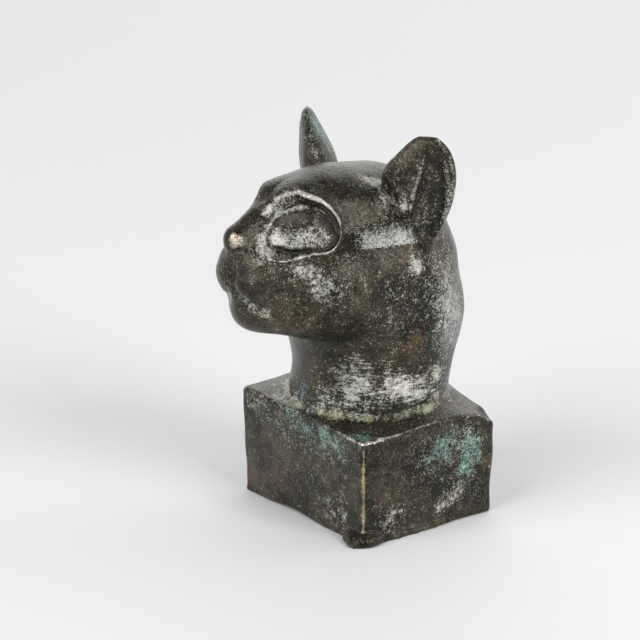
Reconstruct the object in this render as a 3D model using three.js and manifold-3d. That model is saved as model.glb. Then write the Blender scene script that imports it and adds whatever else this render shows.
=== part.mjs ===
// Cat head sculpture: a small bronze cat's head and neck, cast in one piece with its low plinth.
// Millimetres, +Z up. The origin is the middle of the underside, and the cat looks along -Y.
import * as THREE from 'three';
import { mergeVertices } from 'three/addons/utils/BufferGeometryUtils.js';
import Module from 'manifold-3d';

const wasm = await Module();
wasm.setup();

// Plinth: an uneven block whose top swells up to a collar round the neck
const plinthWidth = 55;       // side to side, at the foot
const plinthDepth = 44.3;     // front to back, at the foot
const plinthHeight = 29.3;    // to its four top corners
const plinthFlare = 0.5;      // how far each side leans out towards the top
const collarRise = 3.9;       // height of the collar over the corners, at the sides
const collarTilt = 1.9;       // how much higher the collar is behind and lower in front
const collarFall = 4.2;       // distance in which the collar sinks away from the neck
const underArch = 1.3;        // worn hollow under the front and left edges
const spillSize = [6.4, 4.8, 3.6];    // half sizes of the lump of metal at one front corner's foot
const spillInset = [5.2, 3.6];        // its middle, in from the corner

// Bust: carved as shares of its own height, one unit being a 79.2nd of it
const bustHeight = 79.2;      // collar level to the ear tips
const unitsHigh = 79.2;
const unit = bustHeight / unitsHigh;
const neckSink = 0.7;         // the collar level over the plinth's corners
const collarLevel = plinthHeight + neckSink;
const neckLedge = [2.5, 0.55];        // plinth left free beside and in front of the neck's root

// Facets: columns and rows of each surface
const fanColumns = 62;
const fanFront = 0.52;        // share of the even spacing between columns at the face
const fanRows = { crown: 8, face: 27, jaw: 6, neck: 9, root: 3 };
const earFacets = [20, 18];
const cupFacets = [16, 16];
const plinthFacets = [14, 12, 3];
const spillFacets = [12, 8];

const bronze = { color: 0x3a352b, roughness: 0.45, metalness: 0.85 };

// Blends of distances, so that clay-like masses run into each other

function ease(from, to, x) {
  const t = Math.min(Math.max((x - from) / (to - from), 0), 1);
  return t * t * (3 - 2 * t);
}

// The smaller of two distances, rounded over a width
function join(a, b, width) {
  const near = Math.max(width - Math.abs(a - b), 0) / width;
  return Math.min(a, b) - near * near * width / 4;
}

// The larger of two distances, rounded over a width
function keep(a, b, width) {
  return -join(-a, -b, width);
}

// Value at a height, along a smooth curve through a few levels
function along(height, levels, values) {
  const last = levels.length - 1;
  const z = Math.min(Math.max(height, levels[0]), levels[last]);
  let i = 0;
  while (i < last - 1 && z > levels[i + 1]) i += 1;
  const slope = (k) => {
    const before = Math.max(k - 1, 0);
    const after = Math.min(k + 1, last);
    return (values[after] - values[before]) / (levels[after] - levels[before]);
  };
  const step = levels[i + 1] - levels[i];
  const t = (z - levels[i]) / step;
  const rise = t * t * (3 - 2 * t);
  const leave = t * (1 - t) * (1 - t) * step * slope(i);
  const arrive = t * t * (1 - t) * step * slope(i + 1);
  return values[i] + rise * (values[i + 1] - values[i]) + leave - arrive;
}

// Masses: each gives the distance of a point from its surface, less than 0 inside

function egg(at, half) {
  return (p) => {
    const d = [p[0] - at[0], p[1] - at[1], p[2] - at[2]];
    const near = Math.hypot(d[0] / half[0], d[1] / half[1], d[2] / half[2]);
    const steep = Math.hypot(d[0] / half[0] ** 2, d[1] / half[1] ** 2, d[2] / half[2] ** 2);
    return near * (near - 1) / Math.max(steep, 1e-9);
  };
}

function roll(from, to, startRadius, endRadius) {
  const way = [to[0] - from[0], to[1] - from[1], to[2] - from[2]];
  const length2 = way[0] ** 2 + way[1] ** 2 + way[2] ** 2;
  return (p) => {
    const d = [p[0] - from[0], p[1] - from[1], p[2] - from[2]];
    const share = (d[0] * way[0] + d[1] * way[1] + d[2] * way[2]) / length2;
    const t = Math.min(Math.max(share, 0), 1);
    const off = Math.hypot(d[0] - t * way[0], d[1] - t * way[1], d[2] - t * way[2]);
    return off - (startRadius + (endRadius - startRadius) * t);
  };
}

function oval(x, y, halfX, halfY) {
  const near = Math.hypot(x / halfX, y / halfY);
  const steep = Math.hypot(x / halfX ** 2, y / halfY ** 2);
  return near * (near - 1) / Math.max(steep, 1e-6);
}

// Head, in units up from the collar level. One side is written, and x is mirrored.
const skull = egg([0, -1.5, 44.0], [23.5, 24.3, 24.2]);
const forehead = egg([0, -16, 50.5], [17.5, 18, 18.3]);
const cheek = egg([10.5, -13, 39], [14, 20, 14]);
const muzzle = roll([0, -16, 42.0], [0, -33.5, 42.5], 19.0, 10.5);
const noseBridge = roll([0, -24, 56.0], [0, -41.8, 50.9], 9.5, 4.3);
const brow = roll([4, -27.5, 59.5], [9, -25.5, 58], 6, 5);
const cheekPad = roll([5.5, -37.5, 43.0], [12.0, -22, 40.5], 7.0, 11.0);
const lipPad = roll([4.5, -39.0, 46.2], [4.6, -39.0, 42.0], 5.3, 5.8);
const chin = egg([0, -37.2, 32.8], [7.4, 6.8, 6.2]);
const jaw = egg([7, -24, 33.4], [10.5, 16, 8.5]);
const mouth = [
  roll([0, -45.2, 37.2], [4.5, -45.4, 38.2], 1.1, 1.1),
  roll([4.5, -45.4, 38.2], [9.2, -41.2, 34.9], 1.1, 1.1),
  roll([9.2, -41.2, 34.9], [14.2, -35.5, 33.0], 1.1, 0.5),
];
const philtrum = roll([0, -47.6, 48.0], [0, -46.6, 38.0], 1.3, 1.5);

function head(p) {
  let d = skull(p);
  d = join(d, forehead(p), 6);
  d = join(d, cheek(p), 7);
  d = join(d, muzzle(p), 5);
  d = join(d, noseBridge(p), 4);
  d = join(d, brow(p), 4);
  d = join(d, cheekPad(p), 6);
  d = join(d, lipPad(p), 1.8);
  d = join(d, chin(p), 2.5);
  d = join(d, jaw(p), 5);
  for (const groove of mouth) d = keep(d, -groove(p), 1.4);
  return keep(d, -philtrum(p), 1.6);
}

// Neck: ovals stacked from the root, which follows the plinth, up into the skull
const neckLevels = [-2, 4, 12, 27, 44, 54];
const rootHalf = [
  (plinthWidth / 2 - neckLedge[0]) / unit,
  (plinthDepth / 2 - neckLedge[1]) / unit,
];
const neckHalfX = [rootHalf[0], rootHalf[0] - 1.6, rootHalf[0] - 2.2, 25.4, 23.5, 19.5];
const neckHalfY = [rootHalf[1], rootHalf[1] - 0.3, rootHalf[1] - 0.5, 24.2, 22.0, 17.0];
const neckMiddleY = [0.1, 0.6, 1.4, 1.8, 1.0, 0.5];
const neckTop = 50;
const neckBottom = -2;

function neck(p) {
  const halfX = along(p[2], neckLevels, neckHalfX);
  const halfY = along(p[2], neckLevels, neckHalfY);
  const middle = along(p[2], neckLevels, neckMiddleY);
  const d = keep(oval(p[0], p[1] - middle, halfX, halfY), p[2] - neckTop, 8);
  return keep(d, neckBottom - p[2], 2);
}

// Ears: lens-shaped leaves, turned out and leaning forward, each with a cup cut in its front
const earTurn = THREE.MathUtils.degToRad(38);
const earFoot = [22.5, 1.0];
const earLean = 4.5;
const earLevels = [46, 54, 60, 65, 70, 74, 77, 79.2];
const earInner = [-1, -6.0, -9.5, -11.0, -9.3, -5.6, -2.6, 1.2];
const earOuter = [2, 5.4, 7.8, 8.9, 8.9, 8.0, 6.6, 4.2];
const earThick = [1.5, 4.6, 5.6, 5.4, 4.3, 3.1, 2.2, 1.0];
const earBottom = 47;
const cupLevels = [49, 52, 56, 60, 64, 68, 72, 75];
const cupMiddle = [1.8, 0.6, 0.3, 1.4, 2.7, 3.5, 3.7, 3.7];
const cupHalf = [0.5, 2.2, 3.0, 2.9, 2.4, 1.8, 1.2, 0.3];
const cupFront = [4.6, 5.0, 5.6, 5.8, 5.6, 5.2, 4.2, 3.4];
const cupDeep = [0.5, 2.6, 4.2, 4.6, 4.2, 3.6, 2.6, 0.6];
const cupBottom = 48.5;
const cupTop = 75;
const earMiddle = [-0.6, -0.8, 62];
const earReach = [10, 5, 16];
const cupCentre = [1.4, 5.4, 61.5];
const cupReach = [3, 4.5, 13];

// A point of the head in the ear's own directions: across it, out of its front, and up
function inEar(p) {
  const x = p[0] - earFoot[0];
  const y = p[1] - earFoot[1];
  const lean = earLean * ease(58, 84, p[2]);
  const across = x * Math.cos(earTurn) + y * Math.sin(earTurn) - 0.3 * lean;
  const front = x * Math.sin(earTurn) - y * Math.cos(earTurn) - lean;
  return [across, front, p[2]];
}

function fromEar(across, front) {
  return [
    earFoot[0] + across * Math.cos(earTurn) + front * Math.sin(earTurn),
    earFoot[1] + across * Math.sin(earTurn) - front * Math.cos(earTurn),
  ];
}

function ear(p) {
  const [across, front, z] = inEar(p);
  const inner = along(z, earLevels, earInner);
  const outer = along(z, earLevels, earOuter);
  const thick = along(z, earLevels, earThick) * (front > 0 ? 1 : 0.85);
  const half = Math.max((outer - inner) / 2, 0.3);
  const d = oval(across - (inner + outer) / 2, front, half, thick);
  return keep(keep(d, z - unitsHigh, 1.5), earBottom - z, 2);
}

function earCup(p) {
  const [across, front, z] = inEar(p);
  const x = across - along(z, cupLevels, cupMiddle);
  const y = front - along(z, cupLevels, cupFront);
  const d = oval(x, y, along(z, cupLevels, cupHalf), along(z, cupLevels, cupDeep));
  return keep(keep(d, z - cupTop, 1), cupBottom - z, 1);
}

// Eyes: an almond ball in a dropped field, inside a raised rim, on a plane of its own
const eyeAt = [11, -30.5, 55.5];
const eyeOut = new THREE.Vector3(0.72, -0.62, 0.31).normalize();
const eyeLevel = new THREE.Vector3(-eyeOut.y, eyeOut.x, 0).normalize();
const eyeTilt = THREE.MathUtils.degToRad(14);
const eyeAcross = eyeLevel.clone().applyAxisAngle(eyeOut, eyeTilt);
const eyeUp = new THREE.Vector3().crossVectors(eyeOut, eyeAcross);
const eyeHalf = { outer: 10.2, inner: 12.5, upper: 9.0, lower: 8.6 };
const eyeRim = 0.6;
const rimHalf = 1.5;          // half width of the rim, as broad as the facets can carry
const eyeDrop = 1.5;
const ballHalf = { outer: 9.2, inner: 11.0, tall: 6.4 };
const ballHigh = 1.6;

// How far the carving of the eye stands out of the head at a point
function eyeRelief(p) {
  const d = new THREE.Vector3(p[0] - eyeAt[0], p[1] - eyeAt[1], p[2] - eyeAt[2]);
  const u = d.dot(eyeAcross);
  const v = d.dot(eyeUp);
  const depth = d.dot(eyeOut);
  const live = ease(-9, -6, depth) * (1 - ease(7, 9, depth));
  if (live === 0) return 0;
  const up = v - 1.6;
  const halfU = u > 0 ? eyeHalf.outer : eyeHalf.inner;
  const halfV = up > 0 ? eyeHalf.upper : eyeHalf.lower;
  const ring = (Math.abs(u / halfU) ** 2.5 + Math.abs(up / halfV) ** 2.5) ** 0.4;
  const past = (ring - 1) * eyeHalf.lower;
  const soft = ease(3, -7, u);
  const rimWidth = rimHalf + 0.9 * soft * ease(0, 3, up);
  const tail = up < 0 ? 1 - ease(-3, -8, u) : 1;
  const rim = eyeRim * (1 - 0.2 * soft) * Math.exp(-(((past - 0.35) / rimWidth) ** 2)) * tail;
  const drop = eyeDrop * ease(0.9, -2.9 - 1.6 * soft, past) * (1 - 0.75 * ease(-4, -11, u));
  const ballU = (u + 0.3) / (u + 0.3 > 0 ? ballHalf.outer : ballHalf.inner);
  const ballV = (v + 0.6) / (ballHalf.tall * (1 - 0.3 * ease(0, -11, u + 0.3)));
  const cap = Math.sqrt(Math.max(1 - ballU * ballU - ballV * ballV, 0));
  return live * (rim - drop + ballHigh * cap * (1 - 0.6 * ease(-3, -10, u)));
}

// Cheekbone: the temple steps in above a level line from the eye back to the ear
function templeStep(p) {
  const length = ease(-27, -19, p[1]) * (1 - ease(-2, 6, p[1])) * ease(13, 17, p[0]);
  return length * ease(47.6, 49.6, p[2]) * (1 - ease(52, 64, p[2]));
}

// Low mound that carries each ear out of the skull
const moundHigh = 2.5;
const moundInset = 0.6;
const moundSpread = 3.5;

function bust(p) {
  const q = [Math.sqrt(p[0] * p[0] + 0.02), p[1], p[2]];
  const plain = join(head(q), neck(q), 5);
  const carved = plain - eyeRelief(q) + templeStep(q);
  const mound = keep(ear(q) + moundInset, carved - moundHigh, 2);
  return join(carved, mound, moundSpread);
}

// Distance along a ray from inside a mass to the place where it comes out
function wayOut(mass, from, way, reach) {
  const at = (t) => mass([from[0] + way[0] * t, from[1] + way[1] * t, from[2] + way[2] * t]);
  const stride = 0.6;
  let far = stride;
  while (at(far) < 0 && far < reach) far += stride;
  let near = far - stride;
  for (let i = 0; i < 20; i += 1) {
    const middle = (near + far) / 2;
    if (at(middle) < 0) near = middle;
    else far = middle;
  }
  return (near + far) / 2;
}

// A sphere's mesh, row by row, with each vertex placed by a function of column and row shares
function shaped(columns, rows, place) {
  const geometry = new THREE.SphereGeometry(1, columns, rows);
  const position = geometry.attributes.position;
  for (let row = 0; row <= rows; row += 1) {
    const pole = row === 0 || row === rows;
    for (let column = 0; column <= columns; column += 1) {
      const share = pole || column === columns ? 0 : column / columns;
      position.setXYZ(row * (columns + 1) + column, ...place(share, row));
    }
  }
  return geometry;
}

// Bust: rays fan out from the head's middle, then slide down the neck, and close under it
const headMiddle = [0, -5, 46];
const neckMiddle = [0, 1, 25];
const fanPolar = { crown: 50, face: 118, jaw: 140 };

function fanRay(row) {
  const spans = [
    [fanRows.crown, 0, fanPolar.crown],
    [fanRows.face, fanPolar.crown, fanPolar.face],
    [fanRows.jaw, fanPolar.face, fanPolar.jaw],
    [fanRows.neck, fanPolar.jaw, fanPolar.jaw],
    [fanRows.root, fanPolar.jaw, 180],
  ];
  let start = 0;
  for (const [index, [count, first, last]] of spans.entries()) {
    if (row <= start + count) {
      const t = (row - start) / count;
      const slide = index < 3 ? 0 : index === 3 ? t : 1;
      const from = headMiddle.map((value, axis) => value + (neckMiddle[axis] - value) * slide);
      return { from, polar: THREE.MathUtils.degToRad(first + (last - first) * t) };
    }
    start += count;
  }
  throw new Error('row past the end of the fan');
}

function bustGeometry() {
  const rows = Object.values(fanRows).reduce((sum, count) => sum + count, 0);
  const geometry = shaped(fanColumns, rows, (share, row) => {
    const { from, polar } = fanRay(row);
    const turn = 2 * share - 1;
    const azimuth = Math.PI / 2 + Math.PI * turn * (fanFront + (1 - fanFront) * turn * turn);
    const side = Math.sin(polar);
    const way = [-Math.cos(azimuth) * side, -Math.sin(azimuth) * side, Math.cos(polar)];
    const t = wayOut(bust, from, way, 90);
    return from.map((value, axis) => (value + way[axis] * t) * unit);
  });
  geometry.translate(0, 0, collarLevel);
  return geometry;
}

// Leaf or cup of an ear: rays from a point inside it, spread out to suit its long shape
function earGeometry(mass, middle, reach, facets) {
  const geometry = shaped(facets[0], facets[1], (share, row) => {
    const polar = Math.PI * row / facets[1];
    const azimuth = 2 * Math.PI * share;
    const across = -Math.cos(azimuth) * Math.sin(polar) * reach[0];
    const front = Math.sin(azimuth) * Math.sin(polar) * reach[1];
    const up = Math.cos(polar) * reach[2];
    const foot = fromEar(middle[0], middle[1]);
    const tip = fromEar(middle[0] + across, middle[1] + front);
    const way = new THREE.Vector3(tip[0] - foot[0], tip[1] - foot[1], up).normalize().toArray();
    const from = [foot[0], foot[1], middle[2]];
    const t = wayOut(mass, from, way, 40);
    return from.map((value, axis) => (value + way[axis] * t) * unit);
  });
  geometry.translate(0, 0, collarLevel);
  return geometry;
}

// Plinth: a gridded box whose top is pulled up to the collar and whose foot is worn hollow
function plinthTop(x, y) {
  const middle = neckMiddleY[1] * unit;
  const halfX = neckHalfX[1] * unit;
  const halfY = neckHalfY[1] * unit;
  const near = Math.hypot(x / halfX, (y - middle) / halfY) - 1;
  const rise = collarRise + collarTilt * (2 * y / plinthDepth);
  return plinthHeight + rise * Math.exp(-Math.max(near, -0.05) * halfX / collarFall);
}

function footHollow(x, y) {
  const frontSpan = (x + plinthWidth * 0.07) / (plinthWidth * 0.42);
  const frontReach = (y + plinthDepth / 2) / 5;
  const sideSpan = (y - plinthDepth * 0.24) / (plinthDepth * 0.22);
  const sideReach = (plinthWidth / 2 - x) / 4;
  const front = underArch * Math.max(1 - frontSpan ** 2, 0) * Math.max(1 - frontReach ** 2, 0);
  const side = underArch * 0.6 * Math.max(1 - sideSpan ** 2, 0) * Math.max(1 - sideReach ** 2, 0);
  return Math.max(front, side);
}

function plinthGeometry() {
  const geometry = new THREE.BoxGeometry(plinthWidth, plinthDepth, 1, ...plinthFacets);
  const position = geometry.attributes.position;
  for (let i = 0; i < position.count; i += 1) {
    const share = position.getZ(i) + 0.5;
    const x = position.getX(i) * (1 + share * 2 * plinthFlare / plinthWidth);
    const y = position.getY(i) * (1 + share * 2 * plinthFlare / plinthDepth);
    const foot = footHollow(position.getX(i), position.getY(i));
    position.setXYZ(i, x, y, foot + share * (plinthTop(x, y) - foot));
  }
  return geometry;
}

// Lump of spilled metal at the foot of the near corner, flat where it rests
function spillGeometry() {
  const geometry = new THREE.SphereGeometry(1, ...spillFacets);
  geometry.rotateX(Math.PI / 2);
  geometry.scale(...spillSize);
  geometry.translate(plinthWidth / 2 - spillInset[0], spillInset[1] - plinthDepth / 2, 0);
  const position = geometry.attributes.position;
  for (let i = 0; i < position.count; i += 1) position.setZ(i, Math.max(position.getZ(i), 0));
  return geometry;
}

// Solids: closed meshes joined and cut, then turned back into one geometry

function mirrored(geometry) {
  const other = geometry.clone();
  other.scale(-1, 1, 1);
  const index = other.index;
  for (let i = 0; i < index.count; i += 3) {
    const second = index.getX(i + 1);
    index.setX(i + 1, index.getX(i + 2));
    index.setX(i + 2, second);
  }
  return other;
}

function solid(geometry) {
  const bare = geometry.clone();
  bare.deleteAttribute('normal');
  bare.deleteAttribute('uv');
  const merged = mergeVertices(bare, 1e-5);
  return new wasm.Manifold(new wasm.Mesh({
    numProp: 3,
    vertProperties: Float32Array.from(merged.attributes.position.array),
    triVerts: Uint32Array.from(merged.index.array),
  }));
}

function toGeometry(body) {
  const mesh = body.getMesh();
  const geometry = new THREE.BufferGeometry();
  geometry.setAttribute('position', new THREE.BufferAttribute(mesh.vertProperties, 3));
  geometry.setIndex(new THREE.BufferAttribute(mesh.triVerts, 1));
  geometry.computeVertexNormals();
  return geometry;
}

function casting() {
  const leaf = earGeometry(ear, earMiddle, earReach, earFacets);
  const cup = earGeometry(earCup, cupCentre, cupReach, cupFacets);
  let body = solid(bustGeometry());
  for (const side of [leaf, mirrored(leaf)]) body = body.add(solid(side));
  for (const side of [cup, mirrored(cup)]) body = body.subtract(solid(side));
  return body.add(solid(plinthGeometry())).add(solid(spillGeometry()));
}

const sculpture = new THREE.Group();
sculpture.name = 'cat_head_sculpture';
const head_and_plinth = new THREE.Mesh(
  toGeometry(casting()),
  new THREE.MeshStandardMaterial(bronze),
);
head_and_plinth.name = 'cat_head_and_plinth';
sculpture.add(head_and_plinth);

export default sculpture;
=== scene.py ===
"""Cat head sculpture: the bronze casting's carved form and patina, on a pale studio floor."""
import math

import bmesh
import bpy
import numpy as np
from mathutils import Matrix, Vector


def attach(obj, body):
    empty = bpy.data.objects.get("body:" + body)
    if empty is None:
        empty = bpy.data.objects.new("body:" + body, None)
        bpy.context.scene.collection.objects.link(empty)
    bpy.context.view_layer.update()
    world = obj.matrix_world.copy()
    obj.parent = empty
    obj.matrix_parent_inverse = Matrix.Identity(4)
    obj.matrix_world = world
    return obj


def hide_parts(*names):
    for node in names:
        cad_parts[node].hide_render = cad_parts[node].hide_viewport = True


bl_info = {
    "name": "Cat Head Sculpture",
    "version": (1, 0, 0),
    "blender": (4, 5, 0),
    "location": "View3D > Sidebar > Cat Head",
    "description": "Bronze cat head on its plinth, with cast skin, worn edges and patina",
    "category": "Object",
}

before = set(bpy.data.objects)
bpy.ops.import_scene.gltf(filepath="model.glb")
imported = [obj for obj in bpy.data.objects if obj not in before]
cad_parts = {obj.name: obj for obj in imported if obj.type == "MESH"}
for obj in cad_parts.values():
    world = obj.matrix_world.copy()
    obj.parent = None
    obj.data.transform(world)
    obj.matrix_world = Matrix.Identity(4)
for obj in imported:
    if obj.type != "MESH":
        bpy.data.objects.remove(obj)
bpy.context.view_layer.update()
NODE = "cat_head_and_plinth"
MM = 0.001

# Blends of distances. Points are arrays of millimetres, one row each.


def ease(start, end, x):
    """Smooth step 3t^2 - 2t^3 of x between start and end."""
    t = np.clip((x - start) / (end - start), 0, 1)
    return t * t * (3 - 2 * t)


def between(rise_from, rise_to, fall_from, fall_to, x):
    """Eases from 0 up to 1 and back down to 0 as x grows."""
    return ease(rise_from, rise_to, x) * (1 - ease(fall_from, fall_to, x))


def bell(x, width):
    """Bell exp(-(x / width)^2), 1 high where x is 0."""
    return np.exp(-np.square(x / width))


def join(a, b, width):
    """Smaller of two distances, less w/4 * (1 - |a - b| / w)^2 where they are near."""
    near = np.maximum(width - np.abs(a - b), 0) / width
    return np.minimum(a, b) - near * near * width / 4


def keep(a, b, width):
    """Larger of two distances, rounded the same way."""
    return -join(-a, -b, width)


def length(v):
    return np.sqrt((v * v).sum(axis=-1))


def along(z, levels, values):
    """Cubic Hermite curve through values at levels, its slopes taken between neighbours."""
    levels = np.asarray(levels, float)
    values = np.asarray(values, float)
    index = np.arange(len(levels))
    before = np.maximum(index - 1, 0)
    after = np.minimum(index + 1, len(levels) - 1)
    slope = (values[after] - values[before]) / (levels[after] - levels[before])
    z = np.clip(z, levels[0], levels[-1])
    i = np.clip(np.searchsorted(levels, z) - 1, 0, len(levels) - 2)
    step = levels[i + 1] - levels[i]
    t = (z - levels[i]) / step
    rise = t * t * (3 - 2 * t)
    leave = t * (1 - t) ** 2 * step * slope[i]
    arrive = t * t * (1 - t) * step * slope[i + 1]
    return values[i] + rise * (values[i + 1] - values[i]) + leave - arrive


def around(angle, degrees, radii):
    """The same curve through radii at degrees, closed into a ring."""
    turns = (degrees[-2] - 360, degrees[-1] - 360, *degrees, degrees[0] + 360, degrees[1] + 360)
    ring = (radii[-2], radii[-1], *radii, radii[0], radii[1])
    return along(np.mod(np.degrees(angle) - degrees[0], 360) + degrees[0], turns, ring)


# Masses: the distance of points from a surface, less than 0 inside


def egg(p, at, half):
    """Ellipsoid: k (k - 1) / |q / half^2| with k = |q / half|."""
    q = p - np.array(at)
    near = length(q / half)
    steep = length(q / np.square(half))
    return near * (near - 1) / np.maximum(steep, 1e-9)


def roll(p, start, end, start_radius, end_radius):
    """Line from start to end with a radius that eases from one end to the other."""
    way = np.subtract(end, start)
    t = np.clip((p - np.array(start)) @ way / (way @ way), 0, 1)
    radius = start_radius + (end_radius - start_radius) * t * t * (3 - 2 * t)
    return length(p - np.array(start) - t[:, None] * way) - radius


def oval(x, y, half_x, half_y):
    """Ellipse, by the egg's formula in two directions."""
    near = np.hypot(x / half_x, y / half_y)
    steep = np.hypot(x / half_x**2, y / half_y**2)
    return near * (near - 1) / np.maximum(steep, 1e-6)


# Head, in units up from the collar level. One side is written, and x is mirrored.
BUST_UNITS = 79.2
SKULL = ((0, -1.5, 44), (23.5, 24.3, 23.7))
# Each mass has its egg's middle and half sizes, or its roll's ends and radii, then its blend's width.
HEAD_MASSES = {
    "forehead": (egg, (0, -16, 50.5), (17.5, 18, 18.3), 6),
    "cheek": (egg, (10.5, -13, 39), (14, 20, 14), 7),
    "muzzle": (roll, (0, -16, 42), (0, -33.5, 42), 19, 10.5, 5),
    "nose": (roll, (0, -24, 56.8), (0, -42.2, 51.5), 9.3, 4.5, 4),
    "bridge": (roll, (0, -35.5, 58.2), (0, -43.9, 53.8), 2.7, 2.6, 2.5),
    "brow": (roll, (4, -27.5, 59.5), (9, -25.5, 58), 6, 5, 4),
    "cheekbone": (roll, (5.3, -37.3, 42.6), (12, -22, 40.5), 6.6, 11, 6),
    "whisker_pad": (roll, (4.4, -38.9, 45.4), (4.6, -38.9, 42), 4.9, 5.8, 3),
    "chin": (egg, (0, -37.2, 32.8), (7.4, 6.8, 6.2), 2.5),
    "jaw": (egg, (7, -24, 33.4), (10.5, 16, 8.5), 5),
}
MOUTH = (
    (0, -44.9, 38.6), (3.2, -44.8, 37.9), (5.3, -43.4, 35.8), (8.8, -41.1, 34), (11.8, -38.8, 32.9),
)
MOUTH_RADII = (1, 1, 1, 0.9, 0.3)
MOUTH_BLEND = 1.6
LIP_CLEFT = ((0, -46, 48.6), (0, -44.6, 38.4), 0.8, 1.1)
NOSTRIL = ((1.5, -46.6, 49.8), (3.7, -44.9, 50.8), 0.5, 0.6)
NOSTRIL_BLEND = 0.8
TEMPLE_LINE = 50.0
TEMPLE_LEAN = 0.24
TEMPLE_DEPTH = 1.5


def head(p):
    """Skull with all the masses of the head run into it."""
    d = egg(p, *SKULL)
    for mass, *form, width in HEAD_MASSES.values():
        d = join(d, mass(p, *form), width)
    return d


def mouth_line(p):
    """Distance from the groove of the mouth, a chain of rolls."""
    links = zip(MOUTH, MOUTH[1:], MOUTH_RADII, MOUTH_RADII[1:])
    return np.min([roll(p, *link) for link in links], axis=0)


def nose_cuts(p, d):
    """Head with its mouth, the cleft of the lip and the nostrils cut in."""
    d = keep(d, -mouth_line(p), MOUTH_BLEND)
    d = keep(d, -roll(p, *LIP_CLEFT), MOUTH_BLEND)
    return keep(d, -roll(p, *NOSTRIL), NOSTRIL_BLEND)


def temple_step(p):
    """The temple leans in above a level line from the eye back to the ear."""
    x, y, z = p.T
    span = between(-27, -19, -2, 6, y) * ease(13, 17, x)
    height = z - TEMPLE_LINE
    ramp = (height + np.sqrt(height**2 + 0.3)) / 2
    return span * np.minimum(TEMPLE_LEAN * ramp, TEMPLE_DEPTH) * (1 - ease(55, 67, z))


# Ears: leaves turned out and leaning forward, each with a cup cut in its front
EAR_TURN = math.radians(38)
EAR_ACROSS = np.array((math.cos(EAR_TURN), math.sin(EAR_TURN), 0))
EAR_FRONT = np.array((math.sin(EAR_TURN), -math.cos(EAR_TURN), 0))
EAR_FOOT = np.array((22.5, 1.0, 0))
EAR_SIDE = 15
EAR_LEAN = 4.5
EAR_LEAN_ACROSS = 0.3
EAR_ROOT = 47
EAR_TOP = 79.8
EAR_LEVELS = (46, 54, 60, 65, 70, 74, 77, EAR_TOP)
EAR_INNER = (-1, -6, -9.5, -11, -10.1, -7, -4.4, -1.4)
EAR_OUTER = (2, 5.4, 7.8, 8.9, 8.9, 7.9, 6.3, 3.4)
EAR_THICK = (1.5, 4.6, 5.6, 5.4, 4.3, 3.1, 2.2, 1)
EAR_BACK_SHARE = 0.85
EAR_MIDDLE = (-0.6, -0.8, 62)
EAR_HALF = (10, 5, 16)
FAR_EAR_SHORTER = 1.2
CREASE_DEPTH = 0.38
CUP_FLOOR = 48.5
CUP_TOP = 75.5
CUP_BLEND = 1.0
CUP_LEVELS = (49, 52, 56, 60, 64, 68, 72, 75)
CUP_MIDDLE = (2.2, 3.2, 4.1, 4.7, 4.9, 4.9, 4.6, 4)
CUP_INNER_HALF = (0.6, 4.6, 6.3, 5.8, 5, 4.6, 3.6, 1.4)
CUP_OUTER_HALF = (0.6, 2.4, 3.5, 4.2, 4.7, 4.4, 3.5, 1.6)
CUP_FRONT = (4.6, 4.9, 5.2, 5.2, 5, 4.7, 4, 3)
CUP_DEEP = (0.5, 2.8, 4.6, 4.9, 4.8, 4.2, 2.8, 0.9)
CUP_POWER = 1.5
FOLD_LEVELS = (50, 52, 54.5, 58, 62, 67, 72, 76)
FOLD_ACROSS = (1.4, -1.2, -2.2, -2, -1.2, -0.2, 0.7, 1.4)


def in_ear(p):
    """Across the ear and out of its front, both less its lean, and up."""
    from_foot = p - EAR_FOOT
    z = p[:, 2]
    lean = EAR_LEAN * ease(58, 84, z)
    return from_foot @ EAR_ACROSS - EAR_LEAN_ACROSS * lean, from_foot @ EAR_FRONT - lean, z


def inner_crease(across, front, z, width):
    """The line down the ear's inner edge, which swings to the front low down."""
    middle = (along(z, EAR_LEVELS, EAR_INNER) + along(z, EAR_LEVELS, EAR_OUTER)) / 2
    return bell(front - 2.6 * ease(68, 57, z), width) * ease(0, -3, across - middle)


def ear(p):
    """Ovals stacked up the leaf, thinner behind, with a crease down the inner edge."""
    across, front, z = in_ear(p)
    inner = along(z, EAR_LEVELS, EAR_INNER)
    outer = along(z, EAR_LEVELS, EAR_OUTER)
    thick = along(z, EAR_LEVELS, EAR_THICK) * np.where(front > 0, 1.0, EAR_BACK_SHARE)
    d = oval(across - (inner + outer) / 2, front, np.maximum((outer - inner) / 2, 0.3), thick)
    d = d - CREASE_DEPTH * inner_crease(across, front, z, 0.75)
    return keep(keep(d, z - EAR_TOP, 1.5), EAR_ROOT - z, 2)


def ear_cup(p):
    """Hollow of the ear: sections (|x|^n + |y|^n)^(1/n), n 1.5, deepest near the outer edge."""
    across, front, z = in_ear(p)
    x = across - along(z, CUP_LEVELS, CUP_MIDDLE)
    y = front - along(z, CUP_LEVELS, CUP_FRONT)
    half = along(z, CUP_LEVELS, CUP_OUTER_HALF)
    half = np.where(x < 0, along(z, CUP_LEVELS, CUP_INNER_HALF), half)
    deep = along(z, CUP_LEVELS, CUP_DEEP)
    near = (np.abs(x / half) ** CUP_POWER + np.abs(y / deep) ** CUP_POWER) ** (1 / CUP_POWER)
    d = (near - 1) * deep * 0.8
    return keep(keep(d, z - CUP_TOP, CUP_BLEND), CUP_FLOOR - z, CUP_BLEND)


def past_fold(p):
    """Distance across the ear past its flap's line over the cup, and how far the fold shows."""
    across, front, z = in_ear(p)
    shows = ease(0.5, 2, front) * ease(50, 52, z) * ease(77, 74, z)
    return across - along(z, FOLD_LEVELS, FOLD_ACROSS), shows


def ear_fold(p):
    """A thin ridge on the flap's edge and a groove beside it."""
    past, shows = past_fold(p)
    return shows * (0.3 * bell(past + 0.3, 0.45) - 0.5 * bell(past - 0.55, 0.55))


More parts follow.
